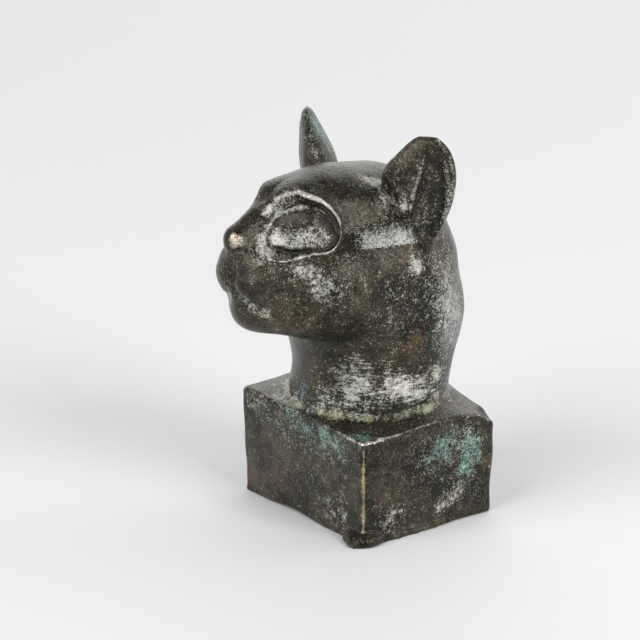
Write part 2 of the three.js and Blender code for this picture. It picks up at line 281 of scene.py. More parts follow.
# Eyes: ball and lid in a sunk field inside a rim, drawn on a plane of their own
EYE_AT = np.array((11, -30.5, 55.5))
EYE_OUT = np.array((0.72, -0.62, 0.31)) / np.linalg.norm((0.72, -0.62, 0.31))
EYE_ACROSS = np.array((-EYE_OUT[1], EYE_OUT[0], 0)) / np.hypot(EYE_OUT[0], EYE_OUT[1])
EYE_UP = np.cross(EYE_OUT, EYE_ACROSS)
RIM_DEGREES = (-5, 25, 50, 76, 97, 125, 160, 196, 211, 247, 267, 297, 325, 340)
RIM_RADII = (11, 9.8, 8.7, 8.3, 9.2, 9.7, 9.8, 12.3, 12.9, 10.2, 8.5, 8.3, 10.7, 11.1)
BALL_DEGREES = (-4, 15, 39, 82, 118, 145, 171, 198, 216, 258, 290, 317, 335)
BALL_RADII = (8.1, 7.7, 6.5, 5.6, 5.8, 7.2, 8.8, 10, 7.9, 5.1, 5.3, 7, 8)
RIM_MIDDLE = (-0.5, 1)
BALL_MIDDLE = (1.2, -0.4)
EYE_NEAR = 19.0


def from_middle(u, v, middle, degrees, radii):
    """Distance from a point of the eye's plane, and the outline's radius on the same side."""
    u = u - middle[0]
    v = v - middle[1]
    return np.hypot(u, v), around(np.arctan2(v, u), degrees, radii)


def eye_places(p):
    """Across and up in the eye's plane, distances from its rim and ball, and their soft parts."""
    q = p - EYE_AT
    u = q @ EYE_ACROSS
    v = q @ EYE_UP
    depth = q @ EYE_OUT
    live = between(-10, -7, 7, 9, depth)
    from_rim, rim_radius = from_middle(u, v, RIM_MIDDLE, RIM_DEGREES, RIM_RADII)
    from_ball, ball_radius = from_middle(u, v, BALL_MIDDLE, BALL_DEGREES, BALL_RADII)
    brow_side = ease(1, -5, u) * ease(-1, 3, v)
    nose_side = ease(-5, -9, u) * ease(4, -1, v)
    return u, v, live, from_rim - rim_radius, from_ball, ball_radius, brow_side, nose_side


def eye_relief_near(p):
    """Rim and lid are ridges, the field a step down, the ball a low dome (1 - r^2)^0.7."""
    u, v, live, past, from_ball, ball_radius, brow_side, nose_side = eye_places(p)
    rim_width = 0.55 + 1.7 * brow_side
    rim = (0.42 - 0.05 * brow_side) * bell(past + 0.1, rim_width) * (1 - nose_side)
    deep = (0.95 + 0.35 * ease(0, 4, v)) * (1 - 0.6 * nose_side)
    drop = deep * ease(-0.1, -1.1 - 3.2 * brow_side - 1.5 * nose_side, past)
    out = from_ball - ball_radius
    share = np.clip(from_ball / ball_radius, 0, 1)
    dome = (1.25 * (1 - share**2) ** 0.7 + 0.35) * (1 - ease(-0.5, 0.25, out)) * (1 - 0.5 * nose_side)
    tilt = 0.05 * v * (1 - ease(-1, 0.3, out))
    lid = 0.95 * ease(-1, 1.5, v) * bell(out - 0.9, 0.8) * ease(10, 7, u)
    return live * (rim - drop + dome - tilt + lid)


def eye_relief(p):
    """How far the carving of the eye stands out of the head."""
    out = np.zeros(len(p))
    close = length(p - EYE_AT) < EYE_NEAR
    out[close] = eye_relief_near(p[close])
    return out


# Neck and plinth
NECK_LEVELS = (-2, 4, 12, 27, 44, 54)
NECK_HALF_X = (25, 23.6, 23, 25.6, 23.5, 19.5)
NECK_HALF_Y = (21.2, 21.2, 21.7, 24.7, 22, 17)
NECK_MIDDLE = (0, 0.5, 1.6, 2, 1, 0.5)
NECK_TOP = 50
COLLAR_SINK = 0.7
COLLAR_FADE = 4.2
PLINTH_LEAN = 0.5
DEPTH_LEAN_SHARE = 0.6
LEAN_ENDS = 26
COLLAR_RISE = 3.9
COLLAR_RISE_BACK = 1.9
CORNER_DROOP = 2.6
DROOP_REACH = 5.5
# Eggs added to the plinth or cut from it: the shares of its half width, half depth and height that
# they are placed from, the way on from there, their half sizes and the blend's width.
PLINTH_LUMPS = {
    "spill": ((1, -1, 0), (-3.2, 1.9, 1.2), (5.8, 4.8, 2.9), 0.9),
    "flash": ((1, 0, 0), (-0.7, -11, 0), (2.6, 19, 1.5), 2.2),
}
PLINTH_HOLLOWS = {
    "corner_dip": ((1, -1, 1), (-3.4, 3.2, 0.9), (3, 2.8, 1.6), 0.6),
    "front_wear": ((0, -1, 0), (-4, -2.85, -8), (24, 9, 9.4), 0.8),
    "side_wear": ((1, 0, 0), (2.5, 10, -8), (7, 11, 8.8), 0.8),
}


def neck(p):
    """Ovals stacked from the root up into the skull."""
    z = p[:, 2]
    middle = along(z, NECK_LEVELS, NECK_MIDDLE)
    half = (along(z, NECK_LEVELS, NECK_HALF_X), along(z, NECK_LEVELS, NECK_HALF_Y))
    d = oval(p[:, 0], p[:, 1] - middle, *half)
    return keep(keep(d, z - NECK_TOP, 8), NECK_LEVELS[0] - z, 2)


class Casting:
    """The whole form as one distance, from the plinth's sizes and the bust's height."""

    def __init__(self, sizes):
        self.half_width = sizes.plinth_width / MM / 2
        self.half_depth = sizes.plinth_depth / MM / 2
        self.height = sizes.plinth_height / MM
        self.collar = self.height + COLLAR_SINK
        self.unit = sizes.bust_height / MM / BUST_UNITS

    def plinth_top(self, x, y):
        """Corner height plus a collar that dies away exponentially from the neck."""
        near = np.hypot(x / NECK_HALF_X[1], (y - NECK_MIDDLE[1]) / NECK_HALF_Y[1]) - 1
        rise = COLLAR_RISE + COLLAR_RISE_BACK * y / self.half_depth
        swell = rise * np.exp(-np.maximum(near, -0.15) * NECK_HALF_X[1] / COLLAR_FADE)
        left = ease(-8, -27, x) * (1.5 + 0.4 * ease(-20, -4, y))
        back_corner = np.hypot(x - self.half_width, y - self.half_depth)
        return self.height + left - CORNER_DROOP * ease(DROOP_REACH, 0, back_corner) + swell

    def past_sides(self, x, y, z):
        """Distances past the plinth's leaning sides, across and front to back."""
        lean = PLINTH_LEAN * ease(0, LEAN_ENDS, z)
        past_x = np.abs(x) - self.half_width - lean
        return past_x, np.abs(y) - self.half_depth - lean * DEPTH_LEAN_SHARE

    def plinth(self, p):
        """Block with leaning sides, a swelling top, a worn foot and a lump at one corner."""
        x, y, z = p.T
        d = keep(*self.past_sides(x, y, z), 1.0)
        d = keep(d, (z - self.plinth_top(x, y)) * 0.8, 0.9)
        corner = (self.half_width, self.half_depth, self.height)
        for share, way, half, width in PLINTH_LUMPS.values():
            d = join(d, egg(p, np.multiply(corner, share) + way, half), width)
        for share, way, half, width in PLINTH_HOLLOWS.values():
            d = keep(d, -egg(p, np.multiply(corner, share) + way, half), width)
        return keep(d, -z, 0.5)

    def to_head(self, p):
        """Points in head units from the collar level."""
        return (p - (0, 0, self.collar)) / self.unit

    def near_side(self, p):
        """Points in head units, those of the far side mirrored to the near one."""
        return self.to_head(p) * np.where(p[:, :1] < 0, (-1, 1, 1), 1)

    def bust(self, p):
        """Head and neck with the carving of the face, without the ears."""
        q = self.to_head(p)
        folded = np.column_stack([np.sqrt(q[:, 0] ** 2 + 0.02), q[:, 1], q[:, 2]])
        d = join(nose_cuts(folded, head(folded)), neck(q), 5)
        return (d - eye_relief(folded) + temple_step(folded)) * self.unit

    def eared(self, p):
        """Bust with both ears grown out of it and cupped."""
        q = self.near_side(p)
        q[:, 2] += np.where(p[:, 0] < 0, FAR_EAR_SHORTER * ease(64, EAR_TOP, q[:, 2]), 0)
        d = join(self.bust(p), ear(q) * self.unit, 3.5)
        d = keep(d, -ear_cup(q) * self.unit, CUP_BLEND)
        close = (q[:, 2] > FOLD_LEVELS[0] - 1) & (q[:, 0] > EAR_SIDE)
        d[close] -= ear_fold(q[close])
        return d

    def whole(self, p):
        return join(self.eared(p), self.plinth(p), 1.2)

    def cupped_ear(self, p):
        """The near ear by itself."""
        q = self.to_head(p)
        return keep(ear(q), -ear_cup(q), CUP_BLEND) * self.unit


# Surfaces: closed grids of rays that come out of a mass


def come_out(mass, start, way, steps=70):
    """Each ray steps on by 0.85 of its distance from the surface, back at most 0.5 and on 3 mm."""
    t = np.full(len(way), 0.5)
    for _ in range(steps):
        t += np.clip(-mass(start + way * t[:, None]), -0.5, 3.0) * 0.85
    return start + way * t[:, None]


def closed_grid(mass, start_of, way_of, rows, columns):
    """Rows run from pole to pole and columns go round; each grid point is a ray's way out."""
    row, column = np.meshgrid(np.arange(rows + 1) / rows, np.arange(columns) / columns, indexing="ij")
    row = row.ravel()
    column = np.where((row == 0) | (row == 1), 0, column.ravel())
    points = come_out(mass, start_of(row), way_of(row, column))
    ring = np.arange(columns)
    after = (ring + 1) % columns
    quads = []
    for r in range(rows):
        top = r * columns
        low = top + columns
        quads.append(np.column_stack([top + ring, low + ring, low + after, top + after]))
    return points, np.vstack(quads)


def toward(polar, azimuth):
    """Unit vectors at an angle from straight up, turned from the front."""
    side = np.sin(polar)
    return np.column_stack([np.sin(azimuth) * side, -np.cos(azimuth) * side, np.cos(polar)])


def bust_grid(casting):
    """Rays fan out of the head's middle, slide down the neck and close under it."""
    stops = (0, 0.66, 0.92, 1.0)
    middle = np.array((0, -5, 46))
    way_down = np.array((0, 6, -21))

    def start_of(row):
        slide = np.clip((row - stops[1]) / (stops[2] - stops[1]), 0, 1)[:, None]
        return (middle + slide * way_down) * casting.unit + (0, 0, casting.collar)

    def way_of(row, column):
        polar = np.interp(row, stops, (0, 140, 140, 180))
        return toward(np.radians(polar), 2 * np.pi * column)

    return closed_grid(casting.bust, start_of, way_of, rows=150, columns=180)


def star_grid(mass, middle, spread, rows, columns):
    """Rays from one point to all sides, their unit directions stretched by the rows of spread."""

    def way_of(row, column):
        way = toward(np.pi * row, 2 * np.pi * column) @ spread
        return way / length(way)[:, None]

    return closed_grid(mass, lambda row: np.tile(middle, (len(row), 1)), way_of, rows, columns)


def ear_grid(casting):
    """Rays from inside the ear, spread to suit its tall flat shape."""
    across, front, up = EAR_MIDDLE
    middle = EAR_FOOT + across * EAR_ACROSS + front * EAR_FRONT + (0, 0, up)
    middle = middle * casting.unit + (0, 0, casting.collar)
    half_width, half_thick, half_height = EAR_HALF
    spread = np.array((-half_thick * EAR_FRONT, -half_width * EAR_ACROSS, (0, 0, half_height)))
    return star_grid(casting.cupped_ear, middle, spread, rows=70, columns=80)


def plinth_grid(casting):
    """Rays from the middle of the plinth."""
    middle = (0, 0, casting.height / 2)
    return star_grid(casting.plinth, middle, np.identity(3), rows=90, columns=140)


def mirrored(grid):
    """The same grid on the other side, its faces turned back outwards."""
    points, quads = grid
    return points * (-1, 1, 1), quads[:, ::-1]


# Mesh work


def mesh_from(name, grids):
    """One mesh of several closed grids, with the doubled points at their poles merged."""
    points = np.vstack([g[0] for g in grids])
    starts = np.cumsum([0] + [len(g[0]) for g in grids[:-1]])
    faces = np.vstack([g[1] + s for g, s in zip(grids, starts)])
    mesh = bpy.data.meshes.new(name)
    mesh.from_pydata(points.tolist(), [], faces.tolist())
    work = bmesh.new()
    work.from_mesh(mesh)
    bmesh.ops.remove_doubles(work, verts=work.verts, dist=0.02)
    bmesh.ops.recalc_face_normals(work, faces=work.faces)
    work.to_mesh(mesh)
    work.free()
    return mesh


def merged_by_voxels(mesh, cell):
    """The outer skin of overlapping closed surfaces, in even quads of one cell."""
    carrier = bpy.data.objects.new("voxel_work", mesh)
    bpy.context.scene.collection.objects.link(carrier)
    remesh = carrier.modifiers.new("skin", "REMESH")
    remesh.mode = "VOXEL"
    remesh.voxel_size = cell
    graph = bpy.context.evaluated_depsgraph_get()
    skin = bpy.data.meshes.new_from_object(carrier.evaluated_get(graph))
    bpy.data.objects.remove(carrier)
    return skin


def read_rows(items, name, width, kind):
    """One property of every vertex or edge, a row each."""
    flat = np.empty(len(items) * width, kind)
    items.foreach_get(name, flat)
    return flat.reshape(-1, width)


def points_of(mesh):
    return read_rows(mesh.vertices, "co", 3, float)


def edges_of(mesh):
    return read_rows(mesh.edges, "vertices", 2, np.int64)


def neighbour_mean(values, edges):
    """Mean of each point's neighbours along the edges."""
    count = len(values)
    ends = np.concatenate([edges[:, 0], edges[:, 1]])
    others = np.concatenate([edges[:, 1], edges[:, 0]])
    total = np.maximum(np.bincount(ends, minlength=count), 1)
    columns = values.reshape(count, -1).T
    sums = [np.bincount(ends, weights=column[others], minlength=count) for column in columns]
    return (np.array(sums) / total).T.reshape(values.shape)


def slope_and_value(mass, points, reach=0.05):
    """Slope and value of a mass from its values at the corners of a small tetrahedron."""
    corners = np.array(((1, -1, -1), (-1, -1, 1), (-1, 1, -1), (1, 1, 1)), float)
    values = [mass(points + corner * reach) for corner in corners]
    slope = sum(value[:, None] * corner for value, corner in zip(values, corners)) / (4 * reach)
    return slope, sum(values) / 4


def settle(mass, points, rounds):
    """Newton steps of at most 0.6 mm along the slope, on to the surface."""
    for _ in range(rounds):
        slope, value = slope_and_value(mass, points)
        steep = np.maximum(length(slope), 0.2)
        points = points - slope * (np.clip(value / steep, -0.6, 0.6) / steep)[:, None]
    return points


def relax(mass, points, edges, rounds, pull):
    """Points slide towards their neighbours' mean within the surface, then settle on it."""
    for _ in range(rounds):
        slope, _value = slope_and_value(mass, points)
        normal = slope / np.maximum(length(slope), 1e-6)[:, None]
        shift = (neighbour_mean(points, edges) - points) * pull
        shift -= normal * (shift * normal).sum(axis=1)[:, None]
        points = settle(mass, points + shift, 1)
    return points


def refine(mesh, wanted):
    """Faces whose middle is wanted are cut in four."""
    work = bmesh.new()
    work.from_mesh(mesh)
    work.faces.ensure_lookup_table()
    middles = np.array([face.calc_center_median()[:] for face in work.faces])
    chosen = [work.faces[i] for i in np.flatnonzero(wanted(middles))]
    edges = list({edge for face in chosen for edge in face.edges})
    bmesh.ops.subdivide_edges(work, edges=edges, cuts=1, use_grid_fill=True)
    bmesh.ops.triangulate(work, faces=work.faces)
    work.to_mesh(mesh)
    work.free()


def ripples(points, wavelength, seed, count=26):
    """Sum of cosine waves in seeded directions, about 1 high."""
    rng = np.random.default_rng(seed)
    ways = rng.normal(size=(count, 3))
    ways *= (2 * np.pi / wavelength * rng.uniform(0.7, 1.4, count) / length(ways))[:, None]
    waves = np.cos(points @ ways.T + rng.uniform(0, 2 * np.pi, count))
    return waves.sum(axis=1) / math.sqrt(count / 2)


def spots(points, places):
    """Soft round spots, each a centre, a radius and a strength, that add up to at most 1."""
    total = np.zeros(len(points))
    for x, y, z, radius, strength in places:
        total += strength * bell(length(points - (x, y, z)), radius)
    return np.clip(total, 0, 1)


def pits(points, count, radius, depth, seed):
    """Small blow holes of the casting at seeded points of the skin."""
    rng = np.random.default_rng(seed)
    centres = points[rng.integers(0, len(points), count)]
    sizes = radius * rng.uniform(0.5, 1.3, count)
    out = np.zeros(len(points))
    for centre, size in zip(centres, sizes):
        close = np.abs(points - centre).max(axis=1) < 3 * size
        out[close] += np.exp(-np.square(points[close] - centre).sum(axis=1) / size**2)
    return -depth * np.clip(out, 0, 1)


# Patina as it lies on the sculpture, and spots of painted shade and painted sheen: centre in mm from
# the plinth's middle, radius and strength
DEPOSIT = (
    (18.2, -31, 74.2, 3, 0.46), (21, -28.5, 71.5, 3.6, 0.4), (14.8, -34.5, 76.2, 2.8, 0.42),
    (19, -31.5, 70, 2.6, 0.3), (16, -31, 77.5, 2.4, 0.26), (22, -24, 72, 4, 0.16),
    (10.6, -6.5, 95.6, 1.9, 1.1), (8.6, -8.5, 95.6, 1.6, 0.7), (12.2, -3.6, 96, 2, 0.9),
    (22.7, -5.7, 90.5, 1.6, 0.66), (14, -9.5, 93, 6, 0.16), (19, -6.5, 89, 4, 0.14),
    (23.2, -5.6, 97, 7.5, 0.16), (25.1, -2.7, 74.5, 2.4, 0.75), (22.5, -9, 66, 10, 0.14),
    (24, -6, 92.5, 3, 0.06), (15.1, -15.6, 46.7, 4.5, 0.36), (13.3, -16, 41, 5.5, 0.52),
    (16, -14.6, 36.8, 4.5, 0.46), (4, -20.5, 36, 5, 0.3), (21.2, -6.7, 40.5, 4.6, 0.66),
    (23, 0, 38.8, 4.6, 0.78), (22.1, 7.5, 42.2, 2.4, 0.95), (24, 7, 37, 3, 0.45),
    (-16, -20, 30.5, 5, 0.45), (-20, -12, 31.5, 5, 0.4), (-4.5, -20.4, 33.5, 2.2, 0.6),
    (23, 9, 55, 9, 0.22), (3.3, -44.2, 67.5, 2.4, 0.5), (5.7, -42.4, 65.6, 2.2, 0.5),
    (9, -40.4, 63.8, 2.4, 0.42), (2.6, -46, 76.5, 2, 0.42), (6.6, -39.5, 81, 2.4, 0.4),
    (8.6, -41.5, 78.6, 2.4, 0.45), (3, -44.8, 82.2, 1.7, 0.6), (3.6, -45.2, 71, 1.8, 0.3),
    (24, 8, 68, 8, 0.2), (11.5, -22.4, 6, 4, 0.38), (18.5, -22.5, 6, 3.6, 0.6),
    (19.6, -22.5, 12.5, 3.4, 0.34), (17, -22.5, 20, 4.5, 0.38), (-24, -22.4, 26, 3.6, 0.45),
    (-14, -22.4, 24, 7, 0.2), (3, -22.4, 15, 8, 0.14), (10, -22.4, 24, 5, 0.2),
    (27.8, -15, 5.5, 3, 0.62), (27.6, -10, 6.5, 3.4, 0.42), (27.6, 3, 5.6, 3, 0.5),
    (27.6, 8, 6.4, 3, 0.55), (27.7, 12.5, 9.5, 3, 0.34), (27.8, 6, 12, 5, 0.26),
    (28, -14, 26, 4.5, 0.34), (28, 12, 25.5, 5, 0.34), (27.8, 14, 14, 6, 0.25),
    (27.8, -6, 12, 5, 0.18),
)
VERDIGRIS = (
    (-7, -22.5, 27.8, 4, 0.4), (-1, -22.5, 26, 4, 0.5), (4, -22.5, 28, 3.6, 0.5),
    (10, -22.5, 27, 4, 0.8), (15.5, -22.5, 25.2, 3.6, 0.5), (21, -22.5, 23.5, 3.6, 0.3),
    (-16, -22.5, 27, 4, 0.3), (28, 4, 25.5, 3.6, 0.46), (28, 0.5, 20.5, 3.4, 0.62),
    (28, 6, 21.5, 3.4, 0.55), (27.9, 12.9, 15, 3.4, 0.95), (28, 15, 20.5, 3.6, 0.6),
    (28, -4, 22.5, 3.4, 0.25), (28, 10, 26, 5, 0.4), (-23.6, -0.4, 102.5, 4.2, 1.6),
    (-21.5, -0.2, 97, 4, 0.6), (24.8, 6, 63, 8, 0.32), (23.6, 9.5, 53, 8, 0.34),
    (22, -7, 70, 6, 0.2), (6, -20, 36, 4, 0.45), (-3, -20.8, 34, 4, 0.5), (12, -17.5, 37, 3.5, 0.4),
    (24.6, -19.5, 29.6, 3, 0.9), (10, -16, 44, 4.5, 0.25), (-2, -20, 38, 5, 0.3),
    (27.6, -4, 5, 6, 0.25), (5, -22.4, 14, 8, 0.14),
)
# Spots of painted shade: near-black patches where shade falls, under the chin, on the throat, on the
# forehead, beside the eye and on the plinth's top.
PAINTED_DARK_SPOTS = (
    (9, -23, 95, 6, 0.7), (14.5, -18.5, 91, 4.5, 0.7), (16, -20.6, 86, 2.6, 0.7),
    (2, -25.5, 97, 5, 0.6), (-2, -30, 95, 5, 0.4), (21.2, -18.8, 77.5, 3, 0.5),
    (24, -10, 77.3, 3, 0.5), (10.4, -42.8, 72.5, 3.5, 0.5), (7, -43, 66.5, 3, 0.4),
    (-1.6, -21.9, 50.8, 6, 0.7), (14.4, -21, 54, 6, 0.8), (-4, -19.6, 41, 5, 0.8),
    (-1.5, -20.3, 37, 3, 0.6), (5, -43.5, 79, 3, 0.4), (3, -41, 58.5, 5, 0.5),
    (27.6, 16, 4, 4, 0.5), (27.6, -2, 1.5, 5, 0.5), (25, -12, 32, 4, 0.6),
    (24.5, -6, 31.5, 4.5, 0.7), (26, 4, 32, 4.5, 0.6), (20, -16, 31, 4.5, 0.8),
)
# Pale haze of patina, on the neck's side partly a painted sheen.
HAZE_AND_SHEEN = (
    (24.5, 8.5, 60, 7, 0.42), (23, 10.5, 50, 6, 0.38), (24.5, 7, 70, 7, 0.32), (20, 14, 56, 8, 0.3),
    (18, 17, 68, 9, 0.26), (10, -38, 82, 4, 0.22), (8, -36.5, 86.5, 4, 0.16), (24, 4, 78, 4, 0.2),
    (-14, -20, 31, 6, 0.15), (28, 0, 21, 8, 0.2), (28, 10, 22, 8, 0.22), (27.8, 12, 10, 6, 0.22),
    (-24, -22.5, 27, 4, 0.25), (16, -22.5, 6, 6, 0.2), (27.8, -13, 7, 6, 0.2),
    (-6, -22.5, 23.5, 5, 0.2), (4, -22.5, 23, 5, 0.26), (12, -22.5, 22, 5, 0.22),
    (23, -9, 71, 5, 0.14), (23.5, -7, 62, 5, 0.12),
)
SMOOTH = (
    (2, -40, 85, 8, 0.9), (6, -42, 73, 7, 0.7), (0, -10, 99, 17, 0.8), (4, -38, 60, 9, 0.6),
    (16, -24, 58, 9, 0.4), (14, -22, 93, 6, 0.4), (0, -22, 48, 10, 0.5),
)
WARMTH = (
    (11, -39, 67, 5, 0.45), (17, -31.5, 62.5, 4, 0.5), (24.3, -4, 53.5, 5, 0.6),
    (24, -4.5, 104, 4.5, 0.45), (12.7, -35.4, 59.5, 5, 0.45), (24.5, -6, 77, 3.5, 0.7),
    (-24, -22.3, 5, 4.5, 0.8), (-12, -22.3, 8, 7, 0.35), (27.8, 21.5, 15, 3.4, 1),
    (27.8, -16, 10, 6, 0.3), (20, -24, 66, 7, 0.3),
)
NOSE_TIP = (2.2, -45.5, 53.2)
NOSE_TIP_HALF = (2.3, 2, 2.4)
FAR_SIDE_TIP = 0.5
FAR_SIDE_MARKS = 0.6


def eye_marks(q):
    """Masks of the eye: polished rim, painted brighter along its top as a painted highlight, pale
    brow band and ball, and painted shade in the gaps under the rim and the lid and below the ball.
    """
    close = length(q - EYE_AT) < EYE_NEAR
    rim, pale, dark = (np.zeros(len(q)) for _ in range(3))
    u, v, live, past, from_ball, ball_radius, brow_side, nose_side = eye_places(q[close])
    out = from_ball - ball_radius
    open_side = (1 - brow_side) * (1 - nose_side)
    # Painted highlight: the rim is painted brighter along its top.
    lit = 0.7 + 0.3 * ease(1, 4, v)
    rim[close] = live * bell(past - 0.05, 0.42 + 0.12 * ease(1, 4, v)) * open_side * lit
    brow = 0.75 * bell(past + 0.2, 1.1) + 0.32 * bell(past + 3.0, 2.0)
    brow *= ease(3, -1, u) * ease(2, 5, v)
    lid = 0.55 * bell(out - 0.9, 0.8) * ease(-1, 1.5, v)
    # The ball's pale fades out up towards the lid: pale deposit below, and the lid's painted shadow
    # above.
    ball = 0.52 * ease(0.1, -1.6, out) * ease(3.4, -1.5, v)
    duct = 0.42 * bell(u + 8.0, 2.6) * bell(v + 2.6, 3.0)
    corner = 0.2 * bell(u + 9.5, 1.6) * bell(v - 1.0, 4.0)
    below = 0.3 * ease(0, -2, v) * ease(0.7, 1.1, out) * ease(0.6, -0.6, past)
    pale[close] = live * (brow + lid + ball + duct + corner + below)
    # Painted shade: dark just under the rim, on the ball's top under the lid, and in the groove below
    # the ball.
    under_rim = 0.9 * bell(past + 1.0, 0.5) * open_side * ease(-1.5, 1, v)
    under_lid = 0.8 * bell(out + 0.9, 1.6) * ease(0.5, 3.5, v)
    groove = bell(out - 0.35, 0.34) * ease(0, -2, v)
    dark[close] = live * np.clip(under_rim + under_lid + groove, 0, 1)
    return rim, pale, dark


def temple_sheen(q):
    """Painted sheen: a pale band on the flat above the temple's level line, between eye and ear."""
    x, y, z = q.T
    height = z - TEMPLE_LINE
    return between(-21, -15, -4, -1, y) * ease(14, 17, x) * between(-0.1, 0.7, 1.5, 8, height)


def ear_marks(q):
    """Masks of the ears: flap's edge, groove, deepest line, cup, its wall and the ear's edges. The
    groove and the deepest line are laid on as painted shade.
    """
    past, shows = past_fold(q)
    across, front, z = in_ear(q)
    past_cup = ear_cup(q)
    off_skin = np.abs(ear(q))
    off_middle = across - along(z, CUP_LEVELS, CUP_MIDDLE)
    cup = ease(0.6, -0.6, past_cup)
    flap_edge = shows * bell(past + 0.3, 0.5)
    # Painted shade lies in the fold's groove and along the cup's deepest line.
    groove = shows * bell(past - 0.6, 0.5)
    deep_line_shade = cup * bell(off_middle - 0.2, 0.5)
    wall = ease(0.8, -0.2, past_cup) * ease(0.7, 1.5, off_middle)
    outer_edge = (off_skin < 0.6) * bell(across - along(z, EAR_LEVELS, EAR_OUTER) + 0.5, 0.6)
    outer_edge *= 0.8 * ease(50, 56, z) * ease(-1.5, 0, front)
    inner_edge = (off_skin < 1.0) * inner_crease(across, front, z, 0.6) * ease(56, 60, z)
    return flap_edge, groove, deep_line_shade, cup, wall, np.maximum(inner_edge, outer_edge)


def worn_edges(casting, points, q):
    """Masks of wear: the plinth's near upright edge, the nose tip and the plinth's brim."""
    x, y, z = points.T
    past_x, past_y = casting.past_sides(x, y, z)
    upright = bell(np.hypot(past_x + 0.25, past_y + 0.25), 0.5) * (x > 0) * (y < 0)
    upright *= ease(casting.height, casting.height - 3, z) * ease(1, 4, z)
    from_tip = length((q - NOSE_TIP) / NOSE_TIP_HALF)
    tip = bell(from_tip, 1) * np.where(x > 0, 1, FAR_SIDE_TIP)
    side = np.maximum(np.abs(x) - casting.half_width - 0.3, np.abs(y) - casting.half_depth - 0.15)
    top = z - casting.plinth_top(x, y) + 0.3
    near_corner = np.hypot(x - casting.half_width, y + casting.half_depth)
    brim = bell(side, 0.4) * bell(top, 0.4) * (0.5 + 0.4 * ease(11, 3, near_corner))
    return upright, tip, brim


def patina(casting, points, normals, hollow):
    """The masks that the bronze material reads, before they are clipped to 0 to 1."""
    q = casting.near_side(points)
    z = points[:, 2]
    side = np.where(points[:, 0] > -1, 1.0, FAR_SIDE_MARKS)
    on_plinth = ease(31.5, 29, z)
    rim, eye_pale, eye_shade = eye_marks(q)
    flap_edge, groove, deep_line_shade, cup, wall, ear_edge = ear_marks(q)
    upright, tip, brim = worn_edges(casting, points, q)
    crease = bell(np.abs(casting.eared(points)) + np.abs(casting.plinth(points)), 1.1)
    broad = 0.5 * ripples(points, 34, seed=5) + 0.35 * ripples(points, 15, seed=6)
    up = np.clip(normals[:, 2], 0, 1)
    pit = ease(0.2, 0.9, hollow)
    edge = ease(0.2, 0.8, -hollow)
    # Spots of painted shade.
    painted_dark = spots(points, PAINTED_DARK_SPOTS)
    smooth = spots(points, SMOOTH) + 0.85 * on_plinth
    deposit = 0.16 + spots(points, DEPOSIT) + 0.25 * crease + 0.16 * pit + 0.07 * broad
    deposit += (eye_pale + 0.12 * cup + 0.26 * flap_edge + 0.08 * wall + 0.45 * ear_edge) * side
    deposit -= 0.12 * on_plinth + 0.3 * painted_dark + 0.08 * np.clip(smooth, 0, 1)
    return {
        "deposit": deposit,
        "verdigris": 0.1 + spots(points, VERDIGRIS) + 0.12 * broad + 0.2 * pit + 0.26 * wall,
        "warmth": 0.1 + spots(points, WARMTH) - 0.15 * broad,
        # Painted shade: near-black in the eye's gaps, in hollows, in the ear's groove and deepest
        # line, and in the spots of painted shade.
        "painted_shade": 0.8 * eye_shade + 0.8 * pit + 0.95 * deep_line_shade + 0.7 * groove + 0.6 * painted_dark,
        "wear": 1.1 * rim * side + 0.8 * upright + tip + brim + 0.3 * edge * (0.4 + 0.6 * up),
        "gold": upright + 0.35 * tip,
        "ring": crease * (0.72 + 0.28 * np.clip(ripples(points, 9, seed=9), -1, 1)),
        # Pale haze, a painted sheen on the temple's flat and partly on the neck's side.
        "haze_and_sheen": 0.76 * temple_sheen(q) * side + 0.5 * wall + spots(points, HAZE_AND_SHEEN),
        "strokes": between(30, 33, 46, 56, z),
        "smooth": smooth,
        "scuffs": on_plinth,
    }


# Shader maths written as expressions


class Sock:
    """A socket in a node tree, or the bare tree, with arithmetic that adds Math nodes."""

    def __init__(self, tree, socket):
        self.tree = tree
        self.socket = socket

    def node(self, kind, settings=None, inputs=None, output=0):
        """A node of a type, its settings made first, then its sockets' values or links."""
        made = self.tree.nodes.new(kind)
        for name, value in (settings or {}).items():
            setattr(made, name, value)
        for key, value in (inputs or {}).items():
            if isinstance(value, Sock):
                self.tree.links.new(value.socket, made.inputs[key])
            else:
                made.inputs[key].default_value = value
        return Sock(self.tree, made.outputs[output])

    def math(self, operation, other, swap=False, clamp=False):
        """A Math node of this and another, the other way round if swapped."""
        pair = (other, self) if swap else (self, other)
        settings = {"operation": operation, "use_clamp": clamp}
        return self.node("ShaderNodeMath", settings, {0: pair[0], 1: pair[1]})

    def __add__(self, other):
        return self.math("ADD", other)

    def __radd__(self, other):
        return self.math("ADD", other, True)

    def __sub__(self, other):
        return self.math("SUBTRACT", other)

    def __rsub__(self, other):
        return self.math("SUBTRACT", other, True)

    def __mul__(self, other):
        return self.math("MULTIPLY", other)

    def clamp(self):
        """This value kept to 0 to 1."""
        return self.math("MULTIPLY", 1.0, clamp=True)

    def step(self, low, high):
        """Smooth step from 0 at low to 1 at high."""
        inputs = {"Value": self, "From Min": low, "From Max": high}
        return self.node("ShaderNodeMapRange", {"interpolation_type": "SMOOTHSTEP"}, inputs)

    def blend(self, a, b):
        """Colour a where this mask is 0, and b where it is 1."""
        return self.node("ShaderNodeMix", {"data_type": "RGBA"}, {0: self, 6: a, 7: b}, output=2)


def noise(place, lumps, detail, roughness, turn=(0, 0, 0), shift=(0, 0, 0)):
    """Noise on Object coordinates, about -1 to 1, its lumps' sizes in metres along turned axes."""
    inputs = {"Vector": place, "Scale": lumps, "Rotation": turn, "Location": shift}
    mapped = place.node("ShaderNodeMapping", {"vector_type": "TEXTURE"}, inputs)
    inputs = {"Vector": mapped, "Scale": 1.0, "Detail": detail, "Roughness": roughness}
    return place.node("ShaderNodeTexNoise", None, inputs) * 4.0 - 2.0


def tint(colour):
    return (*colour, 1.0)


